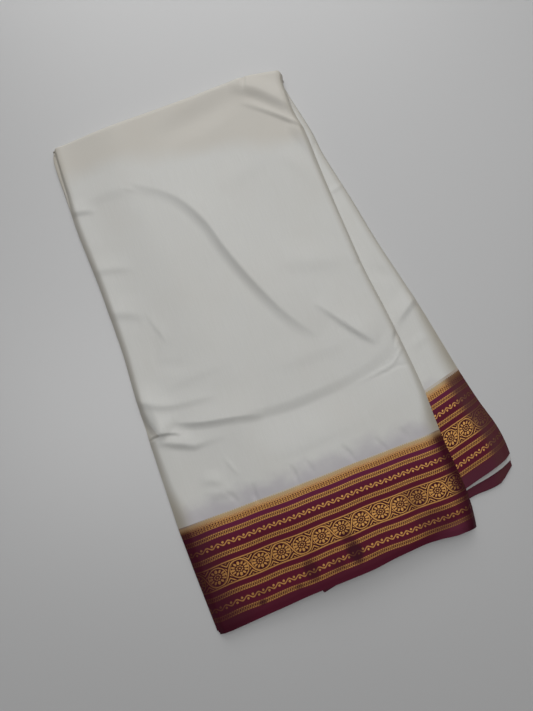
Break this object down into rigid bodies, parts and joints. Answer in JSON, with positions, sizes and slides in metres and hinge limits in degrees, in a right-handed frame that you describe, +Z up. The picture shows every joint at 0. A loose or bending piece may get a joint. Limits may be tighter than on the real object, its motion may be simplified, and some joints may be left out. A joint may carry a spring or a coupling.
{
  "type": "folded saree",
  "caption": "Silk saree pleated into a strip and folded across, lying flat, with an ivory ground and a wide maroon and gold woven border, its back half swung out to one side.",
  "frame": {"origin": "middle of the bundle's footprint on the table", "axes": "+X to the right across the front panel, +Y from the hem to the folded top edge, +Z up out of the table"},
  "size_m": [0.3694, 0.5933, 0.0179],
  "materials": {
    "ivory_silk": "soft matte crepe silk",
    "maroon_border": "satin weave silk with bands of gold metal thread",
    "pale_edge": "plain pale cloth edge"
  },
  "bodies": {
    "root": {"front_body": "ivory_silk", "front_border": "maroon_border", "front_layers_body": "ivory_silk", "front_layers_border": "maroon_border", "fold_layers": "ivory_silk", "back_body": "ivory_silk", "back_border": "maroon_border", "back_layers_body": "ivory_silk", "back_layers_border": "maroon_border", "inner_edge": "pale_edge", "under_border": "maroon_border"}
  },
  "joints": []
}
